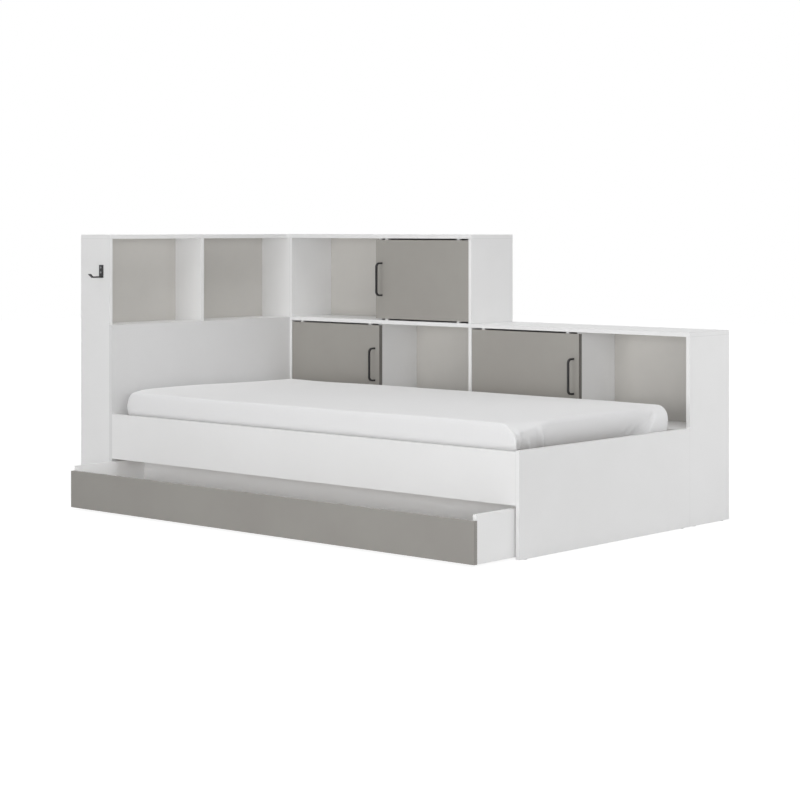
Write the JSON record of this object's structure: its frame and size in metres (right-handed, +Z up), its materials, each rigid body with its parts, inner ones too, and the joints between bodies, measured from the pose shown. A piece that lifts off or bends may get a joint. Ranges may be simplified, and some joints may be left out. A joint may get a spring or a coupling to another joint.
{
  "type": "storage bed",
  "caption": "Single storage bed with an open-shelf headboard, a long wall-side cabinet with sliding doors, a slatted base with mattress and a wide drawer on castors.",
  "frame": {"origin": "on the floor, under the middle of the bounding box with the drawer pulled out as in the rest pose", "axes": "+X from head to foot, +Y from the open front to the wall, +Z up"},
  "size_m": [2.247, 1.469, 1.066],
  "materials": {
    "white_board": "satin white melamine",
    "grey_board": "satin warm grey melamine",
    "back_board": "matt grey fibreboard",
    "black_metal": "matt black powder coat",
    "black_screw": "black",
    "zinc_screw": "zinc plated",
    "zinc_sheet": "zinc plated",
    "white_plastic": "moulded",
    "bare_wood": "planed pine",
    "wheel_plastic": "moulded",
    "mattress_cover": "plain woven cotton sheet"
  },
  "bodies": {
    "bed_frame": {"headboard_front_side": "white_board", "headboard_rear_side": "white_board", "headboard_top": "white_board", "headboard_partition": "white_board", "headboard_shelf": "white_board", "headboard_divider": "white_board", "headboard_facing": "white_board", "low_left_side": "white_board", "low_middle_side": "white_board", "low_end_side": "white_board", "low_top_board": "white_board", "left_bay_floor": "white_board", "right_bay_floor": "white_board", "left_bay_divider": "white_board", "right_bay_divider": "white_board", "upper_left_side": "white_board", "upper_right_side": "white_board", "upper_top_board": "white_board", "upper_divider": "white_board", "front_rail": "white_board", "rear_panel": "white_board", "footboard": "white_board", "headboard_back_panel": "back_board", "low_back_panel": "back_board", "upper_back_panel": "back_board", "coat_hook": "black_metal", "coat_hook_screws": "black_screw", "bearer_screws": "zinc_screw", "bracket_screws": "zinc_screw", "corner_brackets": "zinc_sheet", "drawer_side_glides": "white_plastic", "floor_glides": "white_plastic", "slats": "bare_wood", "front_slat_bearer": "bare_wood", "rear_slat_bearer": "bare_wood", "mattress": "mattress_cover"},
    "upper_door": {"upper_door_panel": "grey_board", "upper_door_handle": "black_metal", "upper_door_handle_screws": "zinc_screw", "upper_door_guides": "white_plastic"},
    "left_door": {"left_door_panel": "grey_board", "left_door_handle": "black_metal", "left_door_handle_screws": "zinc_screw", "left_door_guides": "white_plastic"},
    "right_door": {"right_door_panel": "grey_board", "right_door_handle": "black_metal", "right_door_handle_screws": "zinc_screw", "right_door_guides": "white_plastic"},
    "drawer": {"drawer_front": "grey_board", "drawer_left_side": "white_board", "drawer_right_side": "white_board", "drawer_back": "white_board", "drawer_bottom": "white_board", "castor_housings": "zinc_sheet", "castor_axles": "zinc_screw", "castor_screws": "zinc_screw"},
    "castor_wheel_front_left": {"castor_wheel_front_left": "wheel_plastic"},
    "castor_wheel_front_right": {"castor_wheel_front_right": "wheel_plastic"},
    "castor_wheel_rear_left": {"castor_wheel_rear_left": "wheel_plastic"},
    "castor_wheel_rear_right": {"castor_wheel_rear_right": "wheel_plastic"}
  },
  "joints": [
    {"name": "upper_door_slide", "type": "slide", "parent": "bed_frame", "child": "upper_door", "axis": [1, 0, 0], "range_m": [-0.491, 0]},
    {"name": "left_door_slide", "type": "slide", "parent": "bed_frame", "child": "left_door", "axis": [1, 0, 0], "range_m": [0, 0.4825]},
    {"name": "right_door_slide", "type": "slide", "parent": "bed_frame", "child": "right_door", "axis": [1, 0, 0], "range_m": [0, 0.487]},
    {"name": "drawer_slide", "type": "slide", "parent": "bed_frame", "child": "drawer", "axis": [0, -1, 0], "range_m": [-0.209, 0.12]},
    {"name": "wheel_front_left_spin", "type": "hinge", "parent": "drawer", "child": "castor_wheel_front_left", "pos_m": [-0.7665, -0.6685, 0.018], "axis": [1, 0, 0], "range_deg": [-670, 387]},
    {"name": "wheel_front_right_spin", "type": "hinge", "parent": "drawer", "child": "castor_wheel_front_right", "pos_m": [0.9415, -0.6685, 0.018], "axis": [1, 0, 0], "range_deg": [-670, 387]},
    {"name": "wheel_rear_left_spin", "type": "hinge", "parent": "drawer", "child": "castor_wheel_rear_left", "pos_m": [-0.7665, -0.4255, 0.018], "axis": [1, 0, 0], "range_deg": [-670, 387]},
    {"name": "wheel_rear_right_spin", "type": "hinge", "parent": "drawer", "child": "castor_wheel_rear_right", "pos_m": [0.9415, -0.4255, 0.018], "axis": [1, 0, 0], "range_deg": [-670, 387]}
  ],
  "couplings": [
    {"joint": "wheel_front_left_spin", "follows": "drawer_slide", "rad_per_m": 55.556},
    {"joint": "wheel_front_right_spin", "follows": "drawer_slide", "rad_per_m": 55.556},
    {"joint": "wheel_rear_left_spin", "follows": "drawer_slide", "rad_per_m": 55.556},
    {"joint": "wheel_rear_right_spin", "follows": "drawer_slide", "rad_per_m": 55.556}
  ]
}
